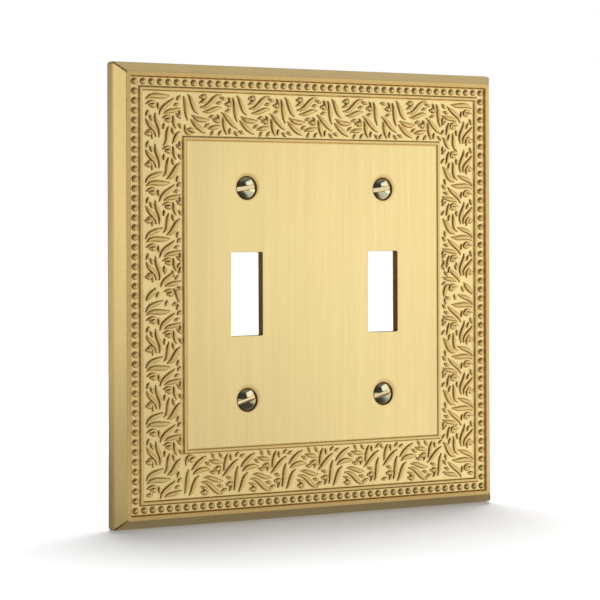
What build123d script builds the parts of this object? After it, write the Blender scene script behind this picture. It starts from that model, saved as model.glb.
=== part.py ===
from build123d import *
import math
import os

# A two-gang toggle switch wall plate, cast in brass, with its four cover screws.
# The wall is the plane Y = 0, the face looks along -Y and +Z is up. The origin is the middle of the four
# screws, in the plane of the wall. All sizes are in millimetres.

# Outside of the casting
plate_w = 128.0
plate_h = 130.0
plate_depth = 6.35
edge_h = 2.75
bevel_run = 2.75
corner_r = 1.0

# Moulding of the face, from the rim inwards; flank_run is the slope of every step
rim_w = 1.25
flank_run = 0.25
channel_w = 2.55
fillet_w = 0.7
band_w = 12.5

# How far each part of the face lies below the rim
channel_drop = 0.65
fillet_drop = 0.15
band_drop = 0.75
panel_drop = 0.4

# Hollow back: width of the land that meets the wall, and metal left behind the panel
land_w = 3.5
panel_wall = 2.55
pocket_corner_r = 2.0

# Toggle openings and screw holes, at the standard places for switches
gang_pitch = 46.04
screw_pitch = 60.33
toggle_w = 10.3
toggle_h = 23.8

# Cover screws, No. 6 oval head; each was left at its own turn, in degrees
thread_r = 1.75
neck_r = 1.5
head_r = 3.15
head_dome_h = 0.95
cone_angle = 82.0
screw_length = 19.0
slot_w = 1.2
slot_depth = 1.25
upper_slot_turns = (9.0, 8.0)
lower_slot_turns = (18.0, 16.0)
screw_hole_r = 2.0
sink_mouth_margin = 0.3
seat_clearance = 0.05
thread_start_gap = 0.6

# Beads along the channel, the same number on each side, with one corner bead counted to each
bead_count = 44
bead_sides = 6
bead_r = 0.98
bead_h = 0.6

# Leaves of the band. Each is (start, end, width, bend): points are (X, Y) in a cell of the band, measured
# from the band's outer edge and the cell's own end, and bend is how far the middle of the leaf lies to the
# left of the line from start to end. leaf_shoulder is the share of its length at which a leaf is fullest.
leaf_h = 0.5
leaf_shoulder = 0.42
relief_root = 0.3
leaf_cell_w = 12.5
side_cell = 15.6
side_leaves = (
    ((0.5, -1.1), (3.5, -6.2), 1.1, 0.25),
    ((3.2, 0.3), (4.7, -5.9), 1.0, 0.4),
    ((7.5, -3.3), (6.1, -8.6), 1.1, 0.4),
    ((11.1, -4.9), (7.1, -9.2), 1.4, 0.3),
    ((0.4, -10.3), (5.6, -7.4), 1.1, 0.7),
    ((0.6, -11.1), (7.8, -10.2), 1.2, 0.5),
    ((4.7, -15.7), (9.2, -10.8), 1.0, 0.6),
    ((6.1, -15.2), (11.3, -13.6), 1.1, 0.4),
)
top_cell = 15.8
top_leaves = (
    ((0.4, -1.4), (1.2, -8.2), 1.2, -0.2),
    ((1.4, -1.0), (4.4, -6.2), 1.1, 0.3),
    ((5.2, -4.4), (11.6, -0.6), 1.2, -0.2),
    ((6.0, -5.6), (11.8, -4.2), 1.1, -0.35),
    ((2.8, -6.6), (7.8, -7.6), 1.2, -0.5),
    ((2.0, -7.8), (6.6, -11.6), 1.2, -0.35),
    ((12.0, -5.6), (17.0, -10.0), 1.1, 0.2),
    ((12.2, -7.0), (13.8, -11.8), 1.0, -0.2),
)

# The band is laid in runs of such cells, from both ends of each side. Offsets give where a run's first cell
# starts, from the end of the band; single leaves fill the joins between runs.
side_first_offset = 8.9
side_first_run = 15.4
side_second_offset = -15.35
side_second_start = 14.7
side_last_offset = 16.0
side_join_top = 3.6
side_join_bottom = -0.9
side_top_join = (((11.1, -11.4), (8.7, -14.4), 1.1, 0.2),)
side_middle_join = (
    ((5.3, 2.3), (8.6, 5.8), 1.0, 0.4),
    ((6.5, 2.6), (11.3, 4.0), 1.0, 0.4),
    ((9.3, 1.8), (10.8, -2.0), 1.2, 0.4),
    ((0.5, -1.4), (3.5, 2.2), 1.2, 0.3),
)
top_first_offset = -0.3
top_last_run = 21.7
top_last_offset = -17.5
top_overrun = 0.5

# Levels of the face above the wall
rim_level = plate_depth
channel_level = rim_level - channel_drop
fillet_level = rim_level - fillet_drop
band_level = rim_level - band_drop
panel_level = rim_level - panel_drop
pocket_level = panel_level - panel_wall

# How far each edge of the moulding lies inside the outline of the plate
bevel_lean = math.degrees(math.atan2(bevel_run, rim_level - edge_h))
rim_inner = bevel_run + rim_w
channel_outer = rim_inner + flank_run
channel_inner = channel_outer + channel_w
outer_fillet_outer = channel_inner + flank_run
outer_fillet_inner = outer_fillet_outer + fillet_w
band_outer = outer_fillet_inner + flank_run
band_inner = band_outer + band_w
inner_fillet_outer = band_inner + flank_run
inner_fillet_inner = inner_fillet_outer + fillet_w
panel_outer = inner_fillet_inner + flank_run

# Seat of the screw heads: the sink is wider than the head, so the head's edge lies just below the panel
cone_slope = math.tan(math.radians(cone_angle / 2))
sink_mouth_r = head_r + sink_mouth_margin
seat_gap_r = seat_clearance / math.cos(math.radians(cone_angle / 2))
head_level = panel_level - (sink_mouth_r - head_r - seat_gap_r) / cone_slope

# The face is drawn flat, with X to the right, Y up and Z away from the wall, and then stood against the wall
against_wall = Plane(origin=(0, 0, 0), x_dir=(1, 0, 0), z_dir=(0, -1, 0)).location


def outline(inset, level, radius=0.0):
    """The outline of the plate moved inwards, at a height above the wall."""
    width = plate_w - 2 * inset
    height = plate_h - 2 * inset
    shape = RectangleRounded(width, height, radius) if radius > 0 else Rectangle(width, height)
    return Pos(0, 0, level) * shape


def tapered(lower, upper):
    """A block between two outlines."""
    return loft([lower, upper], ruled=True)


def blank():
    """The solid casting: a square edge, then a mitred bevel up to the rim, with the four corners rounded off."""
    edge = extrude(outline(0, 0), edge_h)
    bevel = extrude(outline(0, edge_h), rim_level - edge_h, taper=bevel_lean)
    return (edge + bevel) & extrude(outline(0, 0, corner_r), rim_level)


def moulded(body):
    """Sinks the channel, raises the two fillets, and sinks the leaf band and the panel."""
    body -= tapered(outline(channel_outer, channel_level), outline(rim_inner, rim_level))
    body += tapered(outline(channel_inner, channel_level), outline(outer_fillet_outer, fillet_level))
    body -= tapered(outline(band_outer, band_level), outline(outer_fillet_inner, fillet_level))
    body += tapered(outline(band_inner, band_level), outline(inner_fillet_outer, fillet_level))
    body -= tapered(outline(panel_outer, panel_level), outline(inner_fillet_inner, fillet_level))
    return body


def hollow_back():
    """The pocket in the back, inside the land that meets the wall."""
    return extrude(outline(land_w, 0, pocket_corner_r), pocket_level)


def toggle_openings():
    """The two rectangular holes that the toggles come through."""
    hole = extrude(Rectangle(toggle_w, toggle_h), rim_level)
    return [place * hole for place in GridLocations(gang_pitch, 0, 2, 1)]


def screw_holes():
    """Four through holes, sunk for the cone of an oval head."""
    sink_h = (sink_mouth_r - screw_hole_r) / cone_slope
    sink = Pos(0, 0, panel_level - sink_h / 2) * Cone(screw_hole_r, sink_mouth_r, sink_h)
    hole = Pos(0, 0, rim_level / 2) * Cylinder(screw_hole_r, rim_level)
    return [place * (sink + hole) for place in GridLocations(gang_pitch, screw_pitch, 2, 2)]


def bead_places():
    """Centres of the beads, evenly spaced round the middle of the channel, one in each corner."""
    middle = (channel_outer + channel_inner) / 2
    half_w = plate_w / 2 - middle
    half_h = plate_h / 2 - middle
    places = []
    for number in range(bead_count):
        share = 1 - 2 * number / bead_count
        x = half_w * share
        y = half_h * share
        places += [(-x, half_h), (x, -half_h), (half_w, y), (-half_w, -y)]
    return places


def beads():
    """Low knobs with flat sides, each the common part of several roofs, rooted in the floor of the channel."""
    flat = bead_r * math.cos(math.pi / bead_sides)
    eaves = Polyline((-flat, 0), (-flat, -relief_root), (flat, -relief_root), (flat, 0))
    ridge = Polyline((flat, 0), (0, bead_h), (-flat, 0))
    roof = extrude(Plane.XZ * make_face(eaves + ridge), 2 * bead_r, both=True)
    dome = roof
    for number in range(1, bead_sides // 2):
        dome &= Rot(0, 0, 360 / bead_sides * number) * roof
    return [Pos(x, y, channel_level) * dome for x, y in bead_places()]


def leaf(start, end, width, bend):
    """A leaf pointed at both ends and fullest near its start, rooted in the floor of the band."""
    start = Vector(*start)
    along = Vector(*end) - start
    left = along.normalized().rotate(Axis.Z, 90)
    spine = start + along * leaf_shoulder + left * bend
    edge = Polyline(start, spine + left * width / 2, start + along, spine - left * width / 2, close=True)
    blade = extrude(make_face(edge), leaf_h + relief_root)
    return Pos(0, 0, band_level - relief_root) * blade


def placed(leaves, x, y, x_scale=1.0, y_scale=1.0):
    """Leaves of a cell, moved to their place on the face."""
    spots = []
    for start, end, width, bend in leaves:
        first = (x + start[0] * x_scale, y + start[1] * y_scale)
        last = (x + end[0] * x_scale, y + end[1] * y_scale)
        spots.append((first, last, width, bend))
    return spots


def kept(leaves, along, low, high):
    """The leaves that lie whole between two places, along X for 0 and along Y for 1."""
    whole = []
    for spot in leaves:
        ends = (spot[0][along], spot[1][along])
        if low <= min(ends) and max(ends) <= high:
            whole.append(spot)
    return whole


def cell_starts(origin, pitch, low, high):
    """Where the cells of a run start, from one before its low end to one past its high end."""
    first = math.floor((low - origin) / pitch) - 1
    last = math.ceil((high - origin) / pitch) + 1
    return [origin + pitch * number for number in range(first, last + 1)]


def left_band():
    """Leaves of the left side, which runs the full height of the band."""
    x = band_outer - plate_w / 2
    top = plate_h / 2 - band_outer
    squeeze = band_w / leaf_cell_w
    runs = (
        (top + side_first_offset, top - side_first_run, top),
        (top + side_second_offset, side_join_top, top - side_second_start),
        (side_last_offset - top, -top, side_join_bottom),
    )
    spots = placed(side_top_join, x, top, squeeze) + placed(side_middle_join, x, 0, squeeze)
    for origin, low, high in runs:
        for y in cell_starts(origin, side_cell, low, high):
            spots += kept(placed(side_leaves, x, y, squeeze), 1, low, high)
    return spots


def top_band():
    """Leaves of the top, between the two sides."""
    y = plate_h / 2 - band_outer
    right = plate_w / 2 - band_inner
    squeeze = band_w / leaf_cell_w
    join = right - top_last_run
    runs = (
        (top_first_offset - right, -right - top_overrun, join),
        (right + top_last_offset, join, right + top_overrun),
    )
    spots = []
    for origin, low, high in runs:
        for x in cell_starts(origin, top_cell, low, high):
            spots += kept(placed(top_leaves, x, y, 1.0, squeeze), 0, low, high)
    return spots


def leaves():
    """The leaf border: the right side mirrors the left, and the bottom mirrors the top."""
    left = [leaf(*spot) for spot in left_band()]
    top = [leaf(*spot) for spot in top_band()]
    right = [mirror(blade, about=Plane.YZ) for blade in left]
    bottom = [mirror(blade, about=Plane.XZ) for blade in top]
    return left + right + top + bottom


def wall_plate():
    """The whole casting."""
    body = moulded(blank()) - hollow_back()
    body = body - toggle_openings() - screw_holes()
    return body + beads() + leaves()


def cover_screw(turn):
    """An oval-head screw along Z, with the edge of its head at zero and its slot turned from X."""
    cone_h = (head_r - neck_r) / cone_slope
    thread_top = pocket_level - thread_start_gap - head_level
    dome = TangentArc((0, head_dome_h), (head_r, 0), tangent=(1, 0))
    shank = Polyline(
        (head_r, 0),
        (neck_r, -cone_h),
        (neck_r, thread_top),
        (thread_r, thread_top),
        (thread_r, -screw_length),
        (0, -screw_length),
        (0, head_dome_h),
    )
    body = revolve(Plane.XZ * make_face(dome + shank), Axis.Z)
    slot = Pos(0, 0, head_dome_h) * Box(2 * head_r, slot_w, 2 * slot_depth)
    return Rot(0, 0, turn) * (body - slot)


def cover_screws():
    """The four screws in their seats."""
    screws = []
    for row, turns in ((1, upper_slot_turns), (-1, lower_slot_turns)):
        for side, turn in zip((-1, 1), turns):
            place = Pos(side * gang_pitch / 2, row * screw_pitch / 2, head_level)
            screws.append(place * cover_screw(turn))
    return screws


os.makedirs("parts", exist_ok=True)
export_step(against_wall * wall_plate(), "parts/wall_plate.step")
export_step(Compound(children=[against_wall * screw for screw in cover_screws()]), "parts/cover_screws.step")
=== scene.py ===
import math

import bmesh
import bpy
from bpy.props import FloatProperty, FloatVectorProperty, IntProperty, PointerProperty
from mathutils import Matrix, Vector


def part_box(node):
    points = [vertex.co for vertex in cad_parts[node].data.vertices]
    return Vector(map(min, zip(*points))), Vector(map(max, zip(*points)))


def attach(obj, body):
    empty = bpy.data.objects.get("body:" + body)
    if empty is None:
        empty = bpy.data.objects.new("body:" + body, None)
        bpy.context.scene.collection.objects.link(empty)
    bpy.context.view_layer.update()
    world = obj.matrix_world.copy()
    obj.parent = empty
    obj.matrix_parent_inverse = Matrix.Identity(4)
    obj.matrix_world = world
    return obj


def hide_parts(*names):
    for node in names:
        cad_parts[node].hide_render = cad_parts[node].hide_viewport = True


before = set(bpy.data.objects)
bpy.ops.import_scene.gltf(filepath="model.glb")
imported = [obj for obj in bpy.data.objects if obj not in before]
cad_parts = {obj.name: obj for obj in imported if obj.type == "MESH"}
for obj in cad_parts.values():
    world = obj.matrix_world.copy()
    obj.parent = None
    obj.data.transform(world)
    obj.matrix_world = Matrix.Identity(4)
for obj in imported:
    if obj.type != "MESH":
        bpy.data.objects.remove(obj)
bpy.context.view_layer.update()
PLATE_LOW, PLATE_HIGH = (Vector(corner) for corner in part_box("wall_plate"))
SCREW_LOW, SCREW_HIGH = (Vector(corner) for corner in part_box("cover_screws"))

bl_info = {
    "name": "Toggle switch wall plate",
    "version": (1, 0, 0),
    "blender": (4, 5, 0),
    "location": "View3D > Sidebar > Wall plate",
    "description": "Dresses the packed two-gang wall plate: casting, beads, leaf border, screws and stage",
    "category": "Object",
}

# The face is drawn flat in millimetres, X to the right, Y up and Z away from the wall, and then stood
# against the wall in metres.
MM = 0.001

# Moulding of the face: how far each edge lies inside the outline, and how high above the wall
BEVEL_RUN = 2.75
CORNER_R, SHOULDER_R, MITRE_R = 1.0, 0.8, 0.55
RIM_INNER = 4.0
CHANNEL_OUTER, CHANNEL_INNER = 4.25, 6.8
FILLET_OUTER, FILLET_INNER = 7.05, 7.75
BAND_OUTER, BAND_INNER = 8.0, 20.5
INNER_FILLET_OUTER, INNER_FILLET_INNER = 20.75, 21.45
PANEL_OUTER = 21.7
EDGE_LEVEL, CHANNEL_LEVEL, FILLET_LEVEL, BAND_LEVEL, PANEL_LEVEL = 2.75, 5.7, 6.2, 5.6, 5.95
CREASE = 0.3

# Hollow back, toggle openings and screw sinks
LAND_W, POCKET_LEVEL, POCKET_R = 3.5, 3.4, 2.0
TOGGLE_W, TOGGLE_H, TOGGLE_R = 10.3, 23.8, 0.35
CONE_SLOPE = math.tan(math.radians(41))
HOLE_R, SINK_R, SINK_MOUTH_R = 2.0, 4.0, 3.45

# Cover screws: head, slot with its turns (upper two, lower two), neck and thread. Levels are from the head's edge.
HEAD_R, DOME_H, DOME_RINGS = 3.15, 0.95, 7
SLOT_W, SLOT_DEPTH = 1.2, 1.25
SLOT_TURNS = (9.0, 8.0, 18.0, 16.0)
NECK_R, THREAD_R, THREAD_DEPTH, THREAD_TOP = 1.5, 1.75, 0.33, -2.878
TIP_TAPER, TIP_H = 0.45, 0.5

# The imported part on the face: the plate's size, and the middles of the screws with the turn of each slot
WIDTH, DEPTH, HEIGHT = (PLATE_HIGH - PLATE_LOW) / MM
SCREW_X, SCREW_Y = ((SCREW_HIGH[axis] - SCREW_LOW[axis]) / MM / 2 - HEAD_R for axis in (0, 2))
SCREWS = tuple(zip((-SCREW_X, SCREW_X) * 2, (SCREW_Y, SCREW_Y, -SCREW_Y, -SCREW_Y), SLOT_TURNS))

# Dark wash left in the hollows, and painted shade, both from 0 for bright brass to 1. The first table goes by the
# distance inside the outline, and the others by the height above the foot of the bead, leaf or screw head.
WASH = (
    (0.0, 0.24), (0.3, 0.18), (2.4, 0.15), (2.75, 0.20), (2.9, 0.28), (3.7, 0.28), (4.0, 0.42), (4.25, 0.48),
    (4.5, 0.10), (4.6, 0.04), (6.45, 0.04), (6.6, 0.18), (6.8, 0.40), (7.05, 0.37), (7.2, 0.26), (7.35, 0.18),
    (7.6, 0.17), (7.75, 0.30), (8.0, 0.38), (8.3, 0.03), (8.5, 0.0), (20.1, 0.0), (20.3, 0.10), (20.5, 0.31),
    (20.75, 0.29), (20.9, 0.22), (21.05, 0.15), (21.3, 0.16), (21.45, 0.38), (21.7, 0.45), (21.85, 0.05),
    (70.0, 0.0),
)
BEAD_WASH = ((-1.0, 0.04), (0.01, 0.04), (0.02, 0.46), (0.28, 0.40), (0.55, 0.26), (0.70, 0.17), (1.0, 0.15))
# The screw table paints shade as a dark ring at the edge of the head, where it meets the sink
SCREW_PAINTED_SHADE = ((-30, 0.15), (-0.31, 0.1), (-0.28, 0.04), (-0.1, 0.55), (0.02, 0.5), (0.12, 0.0), (9, 0.0))
# The lower mitres carry painted shade on top of their wash, so they are darker than the upper ones
LOWER_MITRE_WASH_AND_SHADE, UPPER_MITRE_WASH = 1.0, 0.30
# The walls of the holes, sinks and openings are darkened with painted shade; the back and sides carry wash
BACK_WASH, BACK_EDGE_WASH, SIDE_WASH, HOLE_PAINTED_SHADE = 0.40, 0.30, 0.14, 0.95
# The edges and floor of each slot are darkened with painted shade; the thread carries a light wash
SLOT_EDGE_PAINTED_SHADE, SLOT_PAINTED_SHADE, THREAD_WASH = 1.0, 0.20, 0.1

# Studio: levels of the sides, of the floor's own glow, and of the glowing card that paints reflections in the metal,
# and the soft lights (name, place, size, power and whether the metal mirrors the light itself)
STUDIO_DIM, STUDIO_BACK, STUDIO_LEFT, STUDIO_UP, STUDIO_SPILL = 0.045, 0.85, 0.68, 0.25, 0.06
# The floor glows less near the plate: a painted shade round it, which lets the real shadow show
FLOOR_GLOW_PAINTED_SHADE = 0.19
# Glow of the card, seen only in the metal as a painted reflection: dark close in front, lighter behind and far off
REFLECTION_CARD_FRONT, REFLECTION_CARD_BACK, REFLECTION_CARD_FAR = 0.06, 0.28, 0.62
LOW_PLACE, LOW_SIZE, LOW_POWER = (0.02, -0.082), (0.30, 0.135), 0.11
SOFTBOXES = (
    ("key_right", (0.72, -0.65, 0.17), 0.95, 3.05, True),
    ("fill_left", (-0.58, -0.16, 0.065), 0.30, 0.32, True),
    ("top_soft", (0.51, 0.08, 0.83), 0.90, 1.10, True),
    ("back_top", (0.25, 0.34, 0.94), 0.75, 13.0, False),
)

# Camera: turns in degrees, place of the plate from the lens in millimetres, and the lens in pixels of the frame
CAMERA_YAW, CAMERA_ROLL = -30.844, -0.182
CAMERA_AWAY = (1.643, 17.23, 650.177)
FRAME, FOCAL, FRAME_SHIFT, SENSOR = 600, 2226, -66.86, 36.0

# Leaves of one cell of the band, as the four control points of each leaf's spine and its width. Points are
# measured from the band's outer edge (or the cell's end, on the top) and from the cell's start.
SIDE_CELL = 15.6
SIDE_LEAVES = (
    (0.58, -1.10, 1.24, -3.33, 4.13, -3.86, 3.74, -6.23, 1.20),
    (3.53, 0.50, 3.08, -2.02, 5.84, -3.33, 4.66, -6.23, 1.10),
    (9.00, -0.04, 9.40, -1.50, 9.50, -3.00, 10.05, -3.73, 0.95),
    (7.74, -3.20, 6.76, -4.65, 8.08, -7.54, 5.97, -8.52, 1.10),
    (11.20, -4.78, 9.79, -5.57, 9.53, -8.60, 7.08, -9.12, 1.60),
    (0.50, -10.39, 1.10, -8.20, 4.00, -8.20, 5.76, -7.28, 1.15),
    (0.71, -11.23, 2.16, -9.39, 5.30, -10.97, 7.95, -10.18, 1.35),
    (4.84, -15.57, 5.32, -13.07, 8.20, -12.50, 9.45, -10.78, 1.15),
    (6.24, -15.23, 7.42, -14.12, 9.79, -14.65, 11.37, -13.60, 1.10),
)
TOP_CELL = 15.8
TOP_LEAVES = (
    (0.32, -1.32, 1.30, -3.60, 1.00, -6.60, 1.68, -8.12, 1.20),
    (1.68, -0.80, 3.10, -1.80, 3.30, -5.48, 4.88, -6.12, 1.25),
    (5.68, -4.28, 9.00, -4.60, 9.40, -0.60, 12.40, -0.72, 1.25),
    (6.52, -5.48, 8.60, -5.88, 10.20, -4.00, 12.40, -4.28, 1.10),
    (3.00, -6.60, 4.40, -7.90, 6.60, -8.10, 8.28, -7.72, 1.25),
    (2.52, -7.80, 3.80, -9.00, 5.40, -10.50, 7.20, -11.52, 1.30),
    (8.12, -10.32, 9.40, -9.70, 10.80, -10.00, 12.08, -9.28, 1.10),
    (12.40, -5.60, 13.80, -6.20, 15.60, -9.00, 17.52, -10.08, 1.20),
    (12.80, -7.00, 13.30, -8.40, 13.50, -10.60, 14.12, -11.88, 1.10),
)

# Scrolls: start of the tail, middle of the ball at its end, the ball's radius, where the tail meets it
# (degrees) and the turn
SIDE_SCROLLS = (
    (0.58, -12.70, 2.75, -13.00, 0.80, 115, -1),
    (5.76, -0.83, 7.63, -1.40, 0.78, 115, -1),
    (2.55, -6.85, 1.45, -5.25, 0.85, -15, 1),
)
TOP_SCROLLS = (
    (5.32, -3.12, 6.50, -1.40, 0.80, -50, 1),
    (14.55, -1.20, 14.60, -3.20, 0.80, 60, -1),
    (11.05, -6.25, 10.80, -7.80, 0.80, 60, -1),
)

# Seeds: middle, length, width and lean in degrees
SIDE_SEEDS = (
    (4.47, -13.07, 1.6, 0.65, 98), (10.45, -9.12, 1.5, 0.75, 78), (10.84, -10.76, 1.3, 0.85, 45),
    (10.10, -12.62, 1.2, 0.80, 20), (10.84, -15.83, 1.6, 0.70, -40), (1.05, -15.18, 1.6, 0.70, 68),
    (2.20, -16.50, 1.6, 0.70, 115), (6.24, -3.07, 1.5, 0.70, 84), (9.00, -4.39, 1.7, 0.70, 108),
    (11.24, -2.94, 1.3, 0.75, -50), (11.24, 0.60, 1.4, 0.75, 95),
)
TOP_SEEDS = (
    (12.92, -1.68, 1.5, 0.75, -15), (11.60, -2.88, 1.3, 0.75, 10), (14.52, -5.00, 1.3, 0.75, 15),
    (9.32, -6.88, 1.4, 0.85, 10), (7.72, -9.32, 1.3, 0.75, 30), (9.40, -11.48, 1.1, 0.75, 55),
    (11.88, -11.40, 1.3, 0.75, 50), (15.12, -10.80, 1.5, 0.75, 80), (17.08, -11.48, 1.3, 0.75, -40),
    (18.80, -11.08, 1.3, 0.75, -25),
)

# What fills the joins between the runs of the side, from the middle of the side and from its top
MIDDLE_LEAVES = (
    (5.18, 2.30, 5.58, 4.42, 8.20, 4.95, 9.26, 6.66, 1.15),
    (6.50, 2.50, 7.55, 3.37, 10.05, 3.10, 11.37, 3.95, 1.10),
    (9.05, 1.74, 10.45, 1.26, 10.63, -0.84, 10.97, -1.95, 1.40),
    (0.58, -1.42, 1.24, 0.08, 2.95, 0.74, 3.60, 2.18, 1.45),
)
MIDDLE_SCROLLS = ((6.10, 1.00, 8.08, 0.34, 0.80, 115, -1),)
MIDDLE_SEEDS = (
    (6.58, 6.84, 1.5, 0.75, 75), (4.13, 0.20, 1.4, 0.75, 60), (6.95, -2.16, 1.4, 0.75, 70),
    (9.53, -2.37, 1.3, 0.75, 20), (10.18, 4.95, 1.3, 0.80, 40), (10.97, 2.00, 1.1, 0.75, -30),
    (10.84, 8.30, 1.5, 0.85, 60), (11.16, 6.80, 1.4, 0.80, 60),
)
TOP_JOIN_LEAVES = ((11.30, -11.30, 9.79, -12.10, 9.79, -14.20, 8.87, -14.60, 1.15),)
END_SEEDS = ((1.45, 1.60, 1.4, 0.95, 0),)
CORNER_LEAVES = ((0.75, -9.20, 0.55, -11.60, 1.70, -12.30, 3.30, -11.55, 0.75),)
CORNER_SEEDS = ((2.45, -10.65, 1.5, 1.10, 0),)

# Blanks of the border: name, and widths and heights from start to end, as shares of the largest
BLANKS = (
    ("leaf", (0.30, 0.72, 0.94, 1.00, 0.94, 0.74, 0.28), (0.55, 0.95, 1.00, 1.00, 1.00, 0.95, 0.55)),
    (
        "scroll",
        (0.30, 0.70, 0.92, 1.0, 1.0, 0.95, 0.85, 0.70, 0.35),
        (0.60, 0.95, 1.0, 1.0, 1.0, 1.0, 1.0, 0.95, 0.6),
    ),
    ("seed", (0.45, 0.95, 0.95, 0.45), (0.70, 1.00, 1.00, 0.70)),
)

# Sprigs and beads: rows across a sprig, width of a leaf against its drawing, width of a scroll, depth of the
# root, level of the foot, and the skirt
SPRIG_ROWS = 4
LEAF_SLIM, SCROLL_W = 0.98, 0.85
ROOT_DEPTH, FOOT_LEVEL = 0.25, 0.02
BEAD_SKIRT, SKIRT_DROP = 0.18, 0.012
# Seeds against their drawing, balls against their radius, and the steps of a curl round its ball
SEED_TRIM, SEED_FULL, BALL_LONG, BALL_WIDE = 0.4, 1.1, 1.7, 1.55
CURL_STEPS, CURL_TURN, CURL_START, CURL_IN = 5, 40, 1.50, 0.17
# How far the left, right, upper and lower leaves are moved to the right
RUN_SHIFTS = (0.5, 0.0, 0.45, 0.45)


def length(name, description, default):
    return FloatProperty(name=name, description=description, default=default, unit="LENGTH")


def colour(name, description, default):
    return FloatVectorProperty(name=name, description=description, subtype="COLOR", size=3, default=default)


class PlateSizes(bpy.types.PropertyGroup):
    """Sizes of the wall plate that a user would change."""

    edge_rounding: length("Edge rounding", "Radius worn on the edges of the casting", 0.00009)
    relief: length("Relief", "Height of the leaves above the band", 0.00055)
    skirt: length("Wash line", "Width of the dark line left around each leaf", 0.00030)
    bead_radius: length("Bead radius", "Radius of a bead", 0.00092)
    bead_height: length("Bead height", "Height of a bead above the channel", 0.00072)
    beads_per_side: IntProperty(
        name="Beads per side", description="Beads along each side, with one corner bead counted to each", default=44
    )
    thread_pitch: length("Thread pitch", "Pitch of the screws' thread", 0.000794)


class PlateFinish(bpy.types.PropertyGroup):
    """Colours of the wall plate and its stage."""

    brass: colour("Brass", "Bright satin brass", (0.82, 0.655, 0.295))
    # Tan and the wash colour also colour the painted shade in the sinks, slots and lower mitres and round the screws
    tan: colour("Tan", "Brass under a thin wash", (0.455, 0.25, 0.058))
    wash_and_shade: colour("Wash", "Dark wash and painted shade in the hollows", (0.17, 0.088, 0.019))
    screw: colour("Screw brass", "Polished brass of the screws", (0.78, 0.73, 0.48))
    floor: colour("Floor", "Pale floor", (0.82, 0.82, 0.82))


def sizes():
    return bpy.context.scene.plate_sizes


def finish():
    return bpy.context.scene.plate_finish


# Modelling


def start_clean():
    """Back to object mode with nothing selected."""
    if bpy.context.object and bpy.context.object.mode != "OBJECT":
        bpy.ops.object.mode_set(mode="OBJECT")
    bpy.ops.object.select_all(action="DESELECT")


def only(obj):
    """Makes one object the selected and active one."""
    start_clean()
    obj.select_set(True)
    bpy.context.view_layer.objects.active = obj


def named(name):
    """Takes the object that an operator has just added and names it and its mesh."""
    obj = bpy.context.object
    obj.name = name
    obj.data.name = name
    return obj


def apply_place():
    bpy.ops.object.transform_apply(location=True, rotation=True, scale=True)


def open_edit(kind="VERT"):
    bpy.ops.object.mode_set(mode="EDIT")
    bpy.ops.mesh.select_mode(type=kind)
    bpy.ops.mesh.select_all(action="DESELECT")


def close_edit():
    bpy.ops.object.mode_set(mode="OBJECT")


def pick_all():
    bpy.ops.mesh.select_all(action="SELECT")


def pick(obj, verts=None, edges=None, faces=None):
    """Selects, in edit mode, the parts of a mesh that pass a test of their place; returns how many."""
    bpy.ops.mesh.select_all(action="DESELECT")
    mesh = bmesh.from_edit_mesh(obj.data)
    count = 0
    for test, parts in ((verts, mesh.verts), (edges, mesh.edges), (faces, mesh.faces)):
        if test:
            for part in parts:
                if test(part):
                    part.select_set(True)
                    count += 1
    bmesh.update_edit_mesh(obj.data)
    return count


def pick_rim(obj):
    """Selects the open edges of a mesh in edit mode."""
    bpy.ops.mesh.select_mode(type="EDGE")
    if not pick(obj, edges=lambda edge: edge.is_boundary):
        raise RuntimeError(f"{obj.name} has no open edge to work from")


def resize(x, y, z, middle=(0, 0, 0)):
    bpy.ops.transform.resize(value=(x, y, z), center_override=middle)


def move(x, y, z):
    bpy.ops.transform.translate(value=(x, y, z))


def outward():
    """Turns every face of the mesh in edit mode outwards and goes back to object mode."""
    pick_all()
    bpy.ops.mesh.normals_make_consistent(inside=False)
    close_edit()


def face_up(obj, floor):
    """Turns a mesh over if its faces above a level look down."""
    if sum(face.normal.z * face.area for face in obj.data.polygons if face.center.z > floor) < 0:
        only(obj)
        open_edit("FACE")
        pick_all()
        bpy.ops.mesh.flip_normals()
        close_edit()


def grow_rim(scale, lift=0.0):
    """Extrudes the selected open edge, scales the new ring and lifts it."""
    bpy.ops.mesh.extrude_edges_indiv()
    resize(scale[0], scale[1], 1.0)
    if lift:
        move(0, 0, lift)


def ring_steps(obj, level, steps):
    """Grows a turned shape from its widest ring at one level, by steps of (radius, level)."""
    radius = max(math.hypot(v.co.x, v.co.y) for v in bmesh.from_edit_mesh(obj.data).verts)

    def on_ring(vert):
        return abs(vert.co.z - level) < 1e-4 and abs(math.hypot(vert.co.x, vert.co.y) - radius) < 1e-3

    for wider, higher in steps:
        if not pick(obj, edges=lambda e: (e.is_boundary or e.is_wire) and all(on_ring(v) for v in e.verts)):
            raise RuntimeError(f"{obj.name} has no ring to grow from")
        grow_rim((wider / radius, wider / radius), higher - level)
        radius, level = wider, higher


def close_below(obj):
    """Sinks the open edge of a bead or leaf into the face as a root, and closes it."""
    pick_rim(obj)
    grow_rim((1, 1), -ROOT_DEPTH)
    pick_rim(obj)
    bpy.ops.mesh.edge_face_add()
    outward()


def close_ends(obj):
    """Fills every open end of a mesh in edit mode."""
    pick_rim(obj)
    bpy.ops.mesh.fill_holes(sides=0)
    outward()


def block(name, size, place, turn=0.0):
    """A plain block of its own size, with its place in its points."""
    bpy.ops.mesh.primitive_cube_add(size=1)
    obj = named(name)
    obj.scale = size
    obj.location = place
    obj.rotation_euler = (0, 0, math.radians(turn))
    apply_place()
    return obj


def round_edges(obj, test, radius, segments):
    """Rounds the edges that pass a test, in edit mode."""
    pick(obj, edges=test)
    bpy.ops.mesh.bevel(offset=radius, segments=segments, affect="EDGES")


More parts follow.
